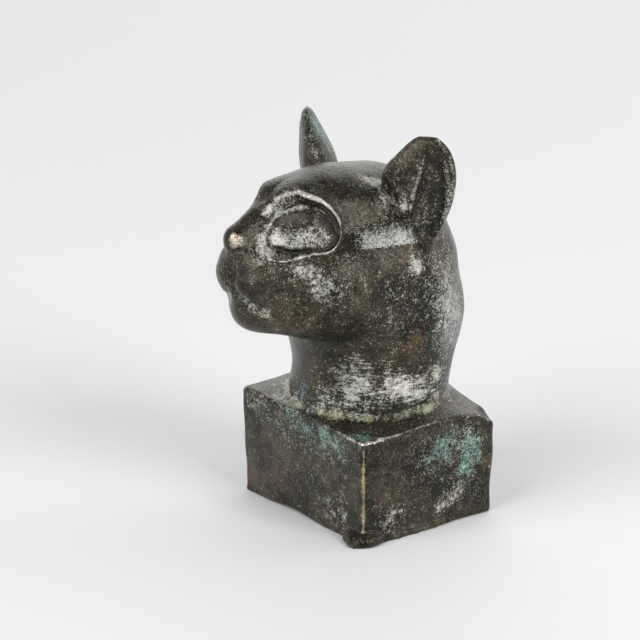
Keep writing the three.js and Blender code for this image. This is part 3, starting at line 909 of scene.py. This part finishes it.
def bronze_material(colours):
    """Dark bronze under cloudy patina, stippled deposit, verdigris and worn metal, with painted shade
    in its recesses, painted sheen in part of its pale haze and painted glints among its flecks.
    """
    material = bpy.data.materials.new("patinated_bronze")
    material.use_nodes = True
    tree = material.node_tree
    tree.nodes.clear()
    root = Sock(tree, None)
    place = root.node("ShaderNodeTexCoord", output="Object")

    def mask(name):
        return root.node("ShaderNodeAttribute", {"attribute_name": name}, output="Fac")

    fine = noise(place, (0.00042,) * 3, 1, 0.6, shift=(0.3, 0.1, 0.7))
    grit = noise(place, (0.0010,) * 3, 3, 0.7)
    mottle = noise(place, (0.0034,) * 3, 3, 0.6, shift=(0.1, 0.4, 0.8))
    clouds = noise(place, (0.012,) * 3, 3, 0.62, shift=(0.5, 0.9, 0.2))
    brushed = noise(place, (0.0032, 0.0032, 0.0006), 3, 0.65, shift=(0.2, 0.2, 0.2))
    rubbed = noise(place, (0.0055, 0.0055, 0.0012), 4, 0.7, (0.5, 0.45, 0.0), (0.6, 0.3, 0.1))
    painted_shade = mask("painted_shade")

    skin = clouds * 0.4 + mottle * 0.3 + grit * 0.25 + fine * 0.3
    skin = skin.step(-0.5, 0.75).blend(tint(colours.dark), tint(colours.olive))
    warm = (mask("warmth") * 0.8 + grit * 0.2 + mottle * 0.25 - 0.2).step(0.0, 0.7)
    skin = warm.blend(skin, tint(colours.warm))
    # Fine pale flecks, partly grain of the patina and partly painted glints.
    fleck_and_glint = (fine * 0.7 + grit * 0.5 + clouds * 0.15).step(0.2, 1.1) * 0.66 * (1.0 - painted_shade * 0.7)
    fleck_and_glint = fleck_and_glint * (1.0 - mask("smooth") * 0.7)
    skin = fleck_and_glint.blend(skin, tint(colours.fleck_and_glint))
    # Painted shade: recesses painted near-black.
    skin = (painted_shade * 0.85).blend(skin, tint(colours.painted_dark))

    speckle = fine * 0.24 + grit * 0.3 + mottle * 0.26 + mask("strokes") * brushed * 0.5
    speckle = speckle + mask("scuffs") * rubbed * 0.24
    deposit = (mask("deposit") + speckle - painted_shade * 0.35 - 0.34).step(0.0, 0.8) * 0.92
    # Pale haze, partly a painted sheen.
    haze_and_sheen = (mask("haze_and_sheen") + fine * 0.34 + grit * 0.26 + mottle * 0.1 - 0.16).step(0.0, 0.9) * 0.8
    pale = (clouds + grit * 0.4).step(-0.7, 0.7).blend(tint(colours.deposit), tint(colours.chalk))
    green = (mask("verdigris") + grit * 0.36 + mottle * 0.3 + fine * 0.3 - 0.44).step(0.0, 0.9) * 0.66
    ring = (mask("ring") + grit * 0.2 + fine * 0.15 + mottle * 0.3 - 0.3).step(0.0, 0.7) * 0.7

    skin = haze_and_sheen.blend(skin, tint(colours.haze_and_sheen))
    colour = green.blend(skin, tint(colours.verdigris))
    colour = deposit.blend(colour, pale)
    colour = ring.blend(colour, tint(colours.crease))
    wear = (mask("wear") + grit * 0.2 + mottle * 0.2 - 0.3).step(0.0, 0.6)
    metal = mask("gold").blend(tint(colours.rim), tint(colours.gold))
    colour = (wear * 0.8).blend(colour, metal)

    crust = (deposit + green * 0.6 + ring).clamp()
    height = grit * 0.3 + fine * 0.22 + mottle * 0.2 + crust * 0.5
    bump = root.node("ShaderNodeBump", None, {"Strength": 0.7, "Distance": 0.0002, "Height": height})
    inputs = {
        "Base Color": colour,
        "Metallic": (0.5 - crust * 0.45 - haze_and_sheen * 0.3 + wear * 0.3 - painted_shade * 0.4).clamp(),
        "Roughness": 0.23 + mottle * 0.05 + (crust + haze_and_sheen * 0.7) * 0.36 - mask("smooth") * 0.03,
        "IOR": 1.42,
        "Normal": bump,
    }
    shader = root.node("ShaderNodeBsdfPrincipled", None, inputs)
    out = tree.nodes.new("ShaderNodeOutputMaterial")
    tree.links.new(shader.socket, out.inputs["Surface"])
    return material


# Settings


def length_property(name, description, default):
    return bpy.props.FloatProperty(name=name, description=description, default=default, unit="LENGTH")


def angle_property(name, description, degrees):
    return bpy.props.FloatProperty(
        name=name, description=description, default=math.radians(degrees), subtype="ANGLE")


def colour_property(name, default):
    return bpy.props.FloatVectorProperty(
        name=name, description=name + " colour", default=default, subtype="COLOR", min=0, max=1)


class CastingSizes(bpy.types.PropertyGroup):
    """Sizes of the casting and of its mesh."""

    plinth_width: length_property("Plinth width", "Side to side, at the foot", 0.0555)
    plinth_depth: length_property("Plinth depth", "Front to back, at the foot", 0.0449)
    plinth_height: length_property("Plinth height", "To its top corners", 0.0293)
    bust_height: length_property("Bust height", "Collar level to the ear tips", 0.0792)
    cell: length_property("Cell", "Size of the mesh's faces", 0.0007)
    grain_depth: length_property("Grain", "Depth of the cast skin's unevenness", 0.00007)


class PatinaColours(bpy.types.PropertyGroup):
    """Colours of the bronze and of what lies on it, with the near-black of its painted shade."""

    dark: colour_property("Dark skin", (0.008, 0.007, 0.004))
    olive: colour_property("Olive skin", (0.090, 0.079, 0.047))
    warm: colour_property("Warm brown", (0.100, 0.056, 0.036))
    # Flecks: partly grain of the patina, partly painted glints.
    fleck_and_glint: colour_property("Fine flecks", (0.30, 0.29, 0.225))
    # Near-black of the painted shade.
    painted_dark: colour_property("Recesses", (0.008, 0.008, 0.006))
    deposit: colour_property("Deposit", (0.44, 0.46, 0.38))
    chalk: colour_property("Chalky deposit", (0.74, 0.71, 0.65))
    # Pale haze, partly a painted sheen.
    haze_and_sheen: colour_property("Haze", (0.62, 0.63, 0.60))
    verdigris: colour_property("Verdigris", (0.27, 0.47, 0.41))
    crease: colour_property("Crease", (0.42, 0.44, 0.28))
    rim: colour_property("Worn rim", (0.76, 0.69, 0.61))
    gold: colour_property("Bare metal", (0.62, 0.44, 0.17))


class StudioSettings(bpy.types.PropertyGroup):
    """Camera and floor."""

    azimuth: angle_property("Azimuth", "Camera's turn from the front", 53.7)
    elevation: angle_property("Elevation", "Camera's angle above level", 16.43)
    distance: length_property("Distance", "Camera to the point it looks at", 0.6912)
    target: bpy.props.FloatVectorProperty(
        name="Target",
        description="Point the camera looks at",
        default=(-0.0073, -0.0109, 0.0532),
        unit="LENGTH",
    )
    lens: bpy.props.FloatProperty(
        name="Lens", description="Focal length in mm on a 36 mm sensor", default=140.625)
    floor_colour: colour_property("Floor", (0.82, 0.82, 0.825))


# The sculpture
CARVED_NEAR_EYE = 15.5
CARVED_NEAR_FOLD = 2.5
SNOUT_SIDE = 13
SNOUT_BACK = -35
SNOUT_FOOT = 30


def carved(casting, middles):
    """Where the carving is fine: the eyes, the nose and mouth, and the folds of the ears."""
    q = casting.near_side(middles)
    x, y, z = q.T
    eye = length(q - EYE_AT) < CARVED_NEAR_EYE
    snout = (x < SNOUT_SIDE) & (y < SNOUT_BACK) & (z > SNOUT_FOOT)
    past, shows = past_fold(q)
    return eye | snout | ((np.abs(past) < CARVED_NEAR_FOLD) & (shows > 0) & (x > EAR_SIDE))


def hollowness(points, normals, edges, cell, rounds=5):
    """Height of the neighbours' mean above each point, in quarter cells, smoothed."""
    out = ((neighbour_mean(points, edges) - points) * normals).sum(axis=1) / cell * 4
    for _ in range(rounds):
        out = 0.5 * out + 0.5 * neighbour_mean(out, edges)
    return out


def grain(points, sizes):
    """Cast skin: slow waves, finer lumps and blow holes, none under the foot."""
    waves = 1.6 * ripples(points, 18, seed=1) + 0.5 * ripples(points, 7, seed=2)
    holes = pits(points, count=200, radius=0.4, depth=0.14, seed=4)
    return (waves * sizes.grain_depth / MM + holes) * ease(0.3, 2.0, points[:, 2])


class OBJECT_OT_cast_cat_head(bpy.types.Operator):
    """Make the sculpture, one casting with its plinth"""

    bl_idname = "object.cast_cat_head"
    bl_label = "Cast Cat Head"

    def execute(self, context):
        sizes = context.scene.casting_sizes
        casting = Casting(sizes)
        cell = sizes.cell / MM
        near_ear = ear_grid(casting)
        grids = [bust_grid(casting), near_ear, mirrored(near_ear), plinth_grid(casting)]
        mesh = merged_by_voxels(mesh_from("rough", grids), cell)
        points = settle(casting.whole, points_of(mesh), rounds=3)
        points = relax(casting.whole, points, edges_of(mesh), rounds=4, pull=0.6)
        mesh.vertices.foreach_set("co", points.ravel())
        refine(mesh, lambda middles: carved(casting, middles))
        edges = edges_of(mesh)
        points = relax(casting.whole, points_of(mesh), edges, rounds=3, pull=0.4)
        slope, _value = slope_and_value(casting.whole, points)
        normals = slope / length(slope)[:, None]
        masks = patina(casting, points, normals, hollowness(points, normals, edges, cell))
        masks["ring"] = 1.25 * neighbour_mean(neighbour_mean(masks["ring"], edges), edges)
        points = points + normals * grain(points, sizes)[:, None]
        points[:, 2] = np.maximum(points[:, 2], 0)
        mesh.vertices.foreach_set("co", (points * MM).ravel())
        for name, values in masks.items():
            layer = mesh.attributes.new(name, "FLOAT", "POINT")
            layer.data.foreach_set("value", np.clip(values, 0, 1).astype(np.float32))
        mesh.shade_smooth()
        mesh.name = "cat_head_casting"
        mesh.materials.clear()
        mesh.materials.append(bronze_material(context.scene.patina_colours))
        piece = bpy.data.objects.new("cat_head_casting", mesh)
        context.scene.collection.objects.link(piece)
        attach(piece, "root")
        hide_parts(NODE)
        return {"FINISHED"}


# Studio: each soft box's place, the height it faces over the origin, its sides and its watts
SOFTBOXES = {
    "back_left_softbox": ((-1.25, 0.92, 1.1), 0.06, (1.8, 1.4), 10.5),
    "back_right_softbox": ((0.25, 1.7, 1.1), 0.06, (1.8, 1.4), 10),
    "front_softbox": ((0.1, -1.7, 1.2), 0.05, (1.6, 1.4), 27.5),
    "side_softbox": ((1.65, 0.2, 1), 0.05, (0.9, 0.9), 22),
}
WALL_WHITE = (1, 1, 1.01)
CEILING_GREY = (0.15, 0.15, 0.155)
DIM_SIDE = (0.8, -0.6, 0.1)
DIM_GREY = (0.24, 0.24, 0.24)
FLOOR_RADIUS = 3
FLOOR_POINTS = 64


def white_room():
    """White walls round the horizon, dim ahead and to the cat's left, under a dim ceiling."""
    world = bpy.data.worlds.new("studio")
    world.use_nodes = True
    root = Sock(world.node_tree, None)
    way = root.node("ShaderNodeTexCoord", output="Generated")
    up = root.node("ShaderNodeSeparateXYZ", None, {"Vector": way}, output="Z")
    colour = up.step(0.15, 0.55).blend(tint(WALL_WHITE), tint(CEILING_GREY))
    settings = {"operation": "DOT_PRODUCT"}
    facing = root.node("ShaderNodeVectorMath", settings, {0: way, 1: DIM_SIDE}, "Value")
    colour = facing.step(0.1, 0.95).blend(colour, tint(DIM_GREY))
    background = world.node_tree.nodes["Background"]
    world.node_tree.links.new(colour.socket, background.inputs["Color"])
    return world


def add_camera(scene, studio):
    """Camera on a sphere round the target, looking at it, with its top upwards."""
    data = bpy.data.cameras.new("camera")
    data.lens = studio.lens
    data.sensor_width = 36
    data.clip_start = 0.01
    camera = bpy.data.objects.new("camera", data)
    level = math.cos(studio.elevation)
    east = math.sin(studio.azimuth)
    north = -math.cos(studio.azimuth)
    back = Vector((east * level, north * level, math.sin(studio.elevation)))
    right = Vector((-north, east, 0))
    turn = Matrix((right, back.cross(right), back)).transposed()
    place = Vector(studio.target) + back * studio.distance
    camera.matrix_world = Matrix.LocRotScale(place, turn, None)
    scene.collection.objects.link(camera)
    scene.camera = camera


def add_floor(scene, studio):
    """One flat disc, a ring of points round the origin."""
    angle = 2 * np.pi * np.arange(FLOOR_POINTS) / FLOOR_POINTS
    points = FLOOR_RADIUS * np.column_stack([np.cos(angle), np.sin(angle), 0 * angle])
    mesh = bpy.data.meshes.new("floor")
    mesh.from_pydata(points.tolist(), [], [list(range(FLOOR_POINTS))])
    material = bpy.data.materials.new("pale_floor")
    material.use_nodes = True
    shader = material.node_tree.nodes["Principled BSDF"]
    shader.inputs["Base Color"].default_value = tint(studio.floor_colour)
    shader.inputs["Roughness"].default_value = 0.8
    mesh.materials.append(material)
    floor = bpy.data.objects.new("floor", mesh)
    scene.collection.objects.link(floor)


def add_softbox(scene, name, place, target, sides, power):
    """Soft box at a place, facing a target."""
    data = bpy.data.lights.new(name, "AREA")
    data.shape = "RECTANGLE"
    data.size, data.size_y = sides
    data.energy = power
    lamp = bpy.data.objects.new(name, data)
    turn = (place - target).to_track_quat("Z", "Y")
    lamp.matrix_world = Matrix.LocRotScale(place, turn, None)
    scene.collection.objects.link(lamp)


class OBJECT_OT_set_studio(bpy.types.Operator):
    """Make the floor, the lights and the camera"""

    bl_idname = "object.set_cat_studio"
    bl_label = "Set Studio"

    def execute(self, context):
        scene = context.scene
        studio = scene.cat_studio
        add_camera(scene, studio)
        add_floor(scene, studio)
        for name, (place, height, sides, power) in SOFTBOXES.items():
            add_softbox(scene, name, Vector(place), Vector((0, 0, height)), sides, power)
        scene.view_settings.view_transform = "Standard"
        scene.world = white_room()
        return {"FINISHED"}


class VIEW3D_PT_cat_head(bpy.types.Panel):
    """Buttons for the sculpture and its studio."""

    bl_label = "Cat Head"
    bl_space_type = "VIEW_3D"
    bl_region_type = "UI"
    bl_category = "Cat Head"

    def draw(self, context):
        scene = context.scene
        for group in (scene.casting_sizes, scene.patina_colours, scene.cat_studio):
            for name in group.__annotations__:
                self.layout.prop(group, name)
        self.layout.operator(OBJECT_OT_cast_cat_head.bl_idname)
        self.layout.operator(OBJECT_OT_set_studio.bl_idname)


CLASSES = (
    CastingSizes,
    PatinaColours,
    StudioSettings,
    OBJECT_OT_cast_cat_head,
    OBJECT_OT_set_studio,
    VIEW3D_PT_cat_head,
)


def register():
    for cls in CLASSES:
        bpy.utils.register_class(cls)
    bpy.types.Scene.casting_sizes = bpy.props.PointerProperty(type=CastingSizes)
    bpy.types.Scene.patina_colours = bpy.props.PointerProperty(type=PatinaColours)
    bpy.types.Scene.cat_studio = bpy.props.PointerProperty(type=StudioSettings)


def unregister():
    del bpy.types.Scene.cat_studio
    del bpy.types.Scene.patina_colours
    del bpy.types.Scene.casting_sizes
    for cls in reversed(CLASSES):
        bpy.utils.unregister_class(cls)


def main():
    register()
    bpy.ops.object.set_cat_studio()
    bpy.ops.object.cast_cat_head()


if __name__ == "__main__":
    main()
